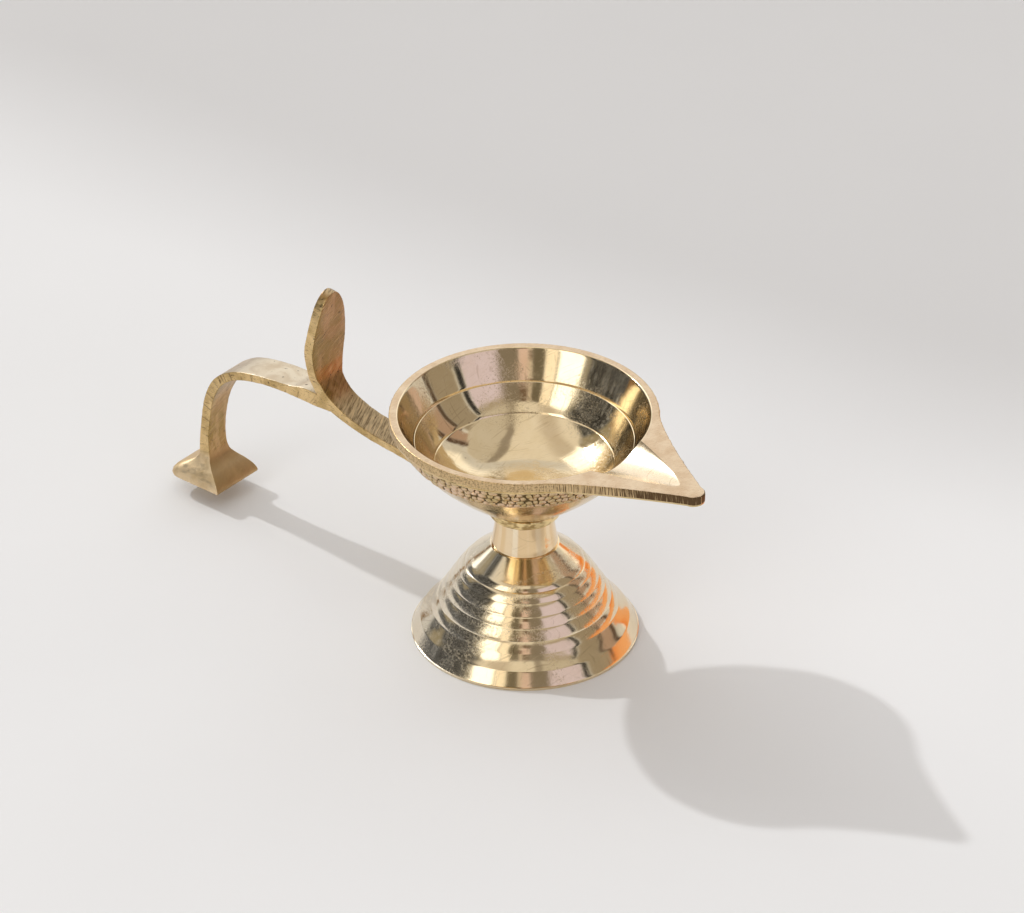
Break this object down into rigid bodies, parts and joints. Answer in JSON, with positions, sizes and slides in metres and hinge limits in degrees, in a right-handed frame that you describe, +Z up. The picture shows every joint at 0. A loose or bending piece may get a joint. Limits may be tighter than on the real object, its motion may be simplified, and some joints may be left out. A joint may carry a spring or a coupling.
{
  "type": "diya oil lamp",
  "caption": "Hand-held brass diya: a spouted bowl for oil and a wick, on a hollow turned foot, with a long cast handle that has a leaf thumb rest and its own small foot.",
  "frame": {"origin": "on the table, under the middle of the lamp's overall length and width", "axes": "+X towards the tip of the spout, with the handle towards -X; +Z up; the lamp mirrors across the XZ plane, apart from the handle, which is clamped 2.7 degrees off it towards -Y"},
  "size_m": [0.1449, 0.056, 0.0629],
  "materials": {
    "bowl": "polished inside, filed pale rim, embossed band outside",
    "handle": "satin, as cast and filed",
    "neck_sleeve": "turned and polished",
    "base": "turned beads, polished",
    "tie_stud": "plain",
    "washer": "plain",
    "spring_washer": "plain",
    "nut": "plain"
  },
  "bodies": {
    "root": {"bowl": "bowl", "handle": "handle", "neck_sleeve": "neck_sleeve", "base": "base", "tie_stud": "tie_stud", "washer": "washer", "spring_washer": "spring_washer", "nut": "nut"}
  },
  "joints": []
}
